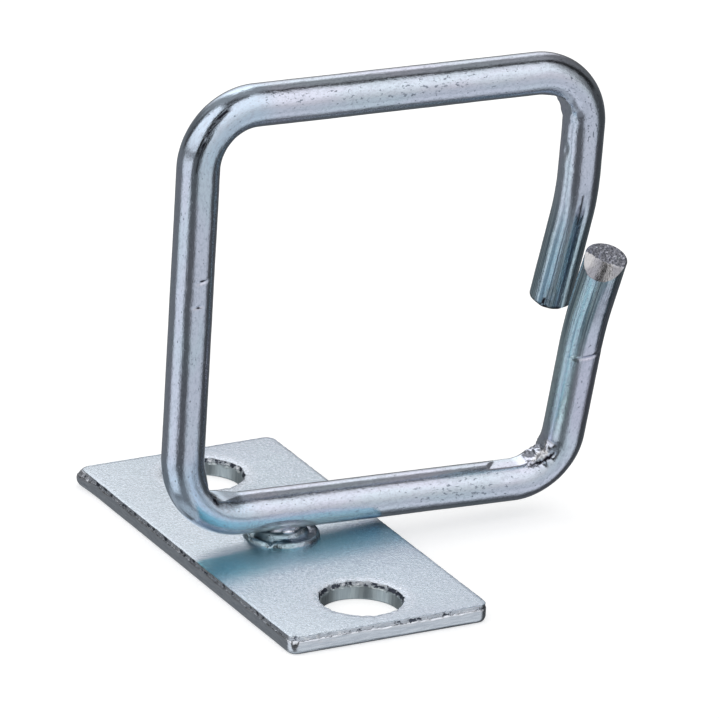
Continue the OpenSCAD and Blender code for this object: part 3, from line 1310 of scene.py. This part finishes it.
def face_zinc(graph, place, from_hole, grains):
    """Colour of the faces: a fine crystalline sparkle, painted shade towards the mouth side
    and its ends, a painted blue-green band of the rod's reflection and shadow beside the
    weld and a painted highlight on the lip round each hole."""
    x, y, _ = graph.split(place)
    sparkle = graph.noise(place, 4.6, 3.0, 0.7)
    cloud = graph.noise(place, 0.3, 3.0, 0.55)
    # Painted shade: the face darkens towards the mouth side and most at its ends
    mouth_side_shade = x.smooth(-8, 4)
    ends = graph.math("ABSOLUTE", y).smooth(12, 21) * mouth_side_shade
    # Painted reflection and shadow of the rod: a band under it, sharp on the side towards the
    # rod, soft beyond, deepest on the closed side
    drift = y - 0.1 * x + cloud * 1.5
    rod_reflection_band = drift.smooth(-0.5, -1.4) * drift.smooth(-8.0, -3.8)
    # Painted highlight: a paler lip round each hole where its face is drawn in
    lip_highlight = from_hole.smooth(5.4, 4.3) * grains.smooth(0.35, 0.6)
    return graph.layered(
        LIT_CLOSED_SIDE_ZINC,
        (mouth_side_shade, SHADED_MOUTH_SIDE_ZINC),
        (ends * 0.7, SHADED_END_ZINC),
        (cloud.smooth(0.4, 0.7) * 0.3, CLOUDED_ZINC),
        (rod_reflection_band * (0.56 + x.smooth(-3, -9) * 0.32), ROD_REFLECTION_AND_SHADOW),
        (lip_highlight * 0.55, LIP_HIGHLIGHT_ZINC),
        (sparkle.smooth(0.54, 0.36) * 0.4, DARK_GRAIN),
        (sparkle.smooth(0.54, 0.68) * 0.4, BRIGHT_GRAIN),
    )


def cut_zinc(graph, place, bore, torn):
    """Colour and relief of the cut walls: streaks along the outline's, streaks
    down the bores, and above both a torn zone with dark and bright chips."""
    streaks = graph.streaks(place, (0.7, 0.7, 5.0), 4.0, 0.65)
    scores = graph.streaks(place, (3.0, 3.0, 0.3), 3.0, 0.6)
    chips = graph.noise(place, 1.5, 3.0, 0.6)
    walls = graph.mix(streaks.smooth(0.35, 0.65), WALL_DARK, WALL_LIGHT)
    bores = graph.mix(scores.smooth(0.35, 0.65), BORE_DARK, BORE_LIGHT)
    worn = graph.layered(
        walls,
        (bore, bores),
        (torn * 0.6, TEAR_GREY),
        (torn * (chips + bore * 0.09).smooth(0.54, 0.60), TEAR_SHADE),
        (torn * chips.smooth(0.40, 0.34), TEAR_GLINT),
    )
    return worn, graph.blend(bore, streaks * 0.6, scores * 0.3)


def sheet_zinc(graph):
    """Satin zinc over rolled sheet with sheared walls and punched bores."""
    place = graph.place_in_mm()
    x, y, z = graph.split(place)
    beside_hole = graph.math("ABSOLUTE", y) - HOLE_PITCH / MM / 2
    from_hole = graph.math(
        "SQRT", graph.math("POWER", x, 2) + graph.math("POWER", beside_hole, 2)
    )
    bore = from_hole.smooth(4.15, 4.0)
    wall = z.smooth(1.74, 1.68) * z.smooth(0.0, 0.03)
    grains = graph.noise(place, 3.0, 4.0, 0.8)
    ragged = graph.noise(place, 2.2, 4.0, 0.7)
    torn = (z + ragged * 0.5).smooth(1.58, 1.66) * wall
    face = face_zinc(graph, place, from_hole, grains)
    worn, cut_relief = cut_zinc(graph, place, bore, torn)
    cut_relief = graph.blend(torn, cut_relief, ragged * 2.2)
    relief = graph.blend(wall, grains * 1.1, cut_relief)
    return {
        "Base Color": graph.mix(wall, face, worn),
        "Roughness": 0.14 + grains * 0.09 + torn * 0.1 + bore * wall * 0.22,
        "Normal": bump(graph, relief, 0.045 * MM),
    }


# Zinc on the weld, from the closed side to the mouth side, what dulls it, and painted shade
WELD_GREEN = colour(0.50, 0.64, 0.72)
WELD_VIOLET = colour(0.60, 0.60, 0.71)
BLOTCH = colour(0.36, 0.46, 0.50)
FLECK = colour(0.10, 0.14, 0.18)
POOL_SHADE = colour(0.28, 0.38, 0.44)
FILLET_ZINC = colour(0.84, 0.84, 0.93)
# Near black painted shade for the weld's pool, rim, crack, bead and seam under the rod
PAINTED_WELD_SHADE = colour(0.03, 0.06, 0.08)


def weld_zinc(graph):
    """Zinc over the weld: blotched and flecked, bright on the neck's fillet and dark under
    painted shade in the pool, outside the rim, in the crack, round the bead and under the rod."""
    place = graph.place_in_mm()
    x, _, z = graph.split(place)
    weld_shade = graph.mark("weld_shade")
    blotch = graph.noise(place, 1.3, 3.0, 0.6)
    flecks = graph.noise(place, 3.5, 3.0, 0.7)
    base = graph.layered(
        WELD_GREEN,
        (x.smooth(-0.9, 0.9), WELD_VIOLET),
        (blotch.smooth(0.35, 0.65) * 0.6, BLOTCH),
        (flecks.smooth(0.55, 0.68) * 0.6, FLECK),
        (z.within(2.1, 2.5, 0.1) * 0.5, POOL_SHADE),
        (z.smooth(2.6, 2.8) * 0.8, FILLET_ZINC),
        # painted shade in the pool, outside the rim, in the crack, round the bead and under the
        # rod
        (weld_shade * 0.92, PAINTED_WELD_SHADE),
    )
    return {
        "Base Color": base,
        "Roughness": 0.1 + blotch * 0.15 + weld_shade * 0.5,
        "Normal": bump(graph, flecks + blotch, 0.05 * MM),
    }


# ------------------------------------------------------------------- the assembly


def fit(piece, node, material):
    """Lets a piece stand for its node of the frame."""
    piece.data.materials.append(material)
    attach(piece, "root")
    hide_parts(node)


bpy.context.scene.view_settings.view_transform = "Standard"
make_camera()
make_world()
make_floor()
make_key_light()
fit(make_plate(), "base_plate", metal("satin_zinc_sheet", sheet_zinc))
fit(make_rod(), "cable_ring", metal("bright_zinc_rod", drawn_rod))
fit(make_weld(), "weld", metal("plated_weld", weld_zinc))
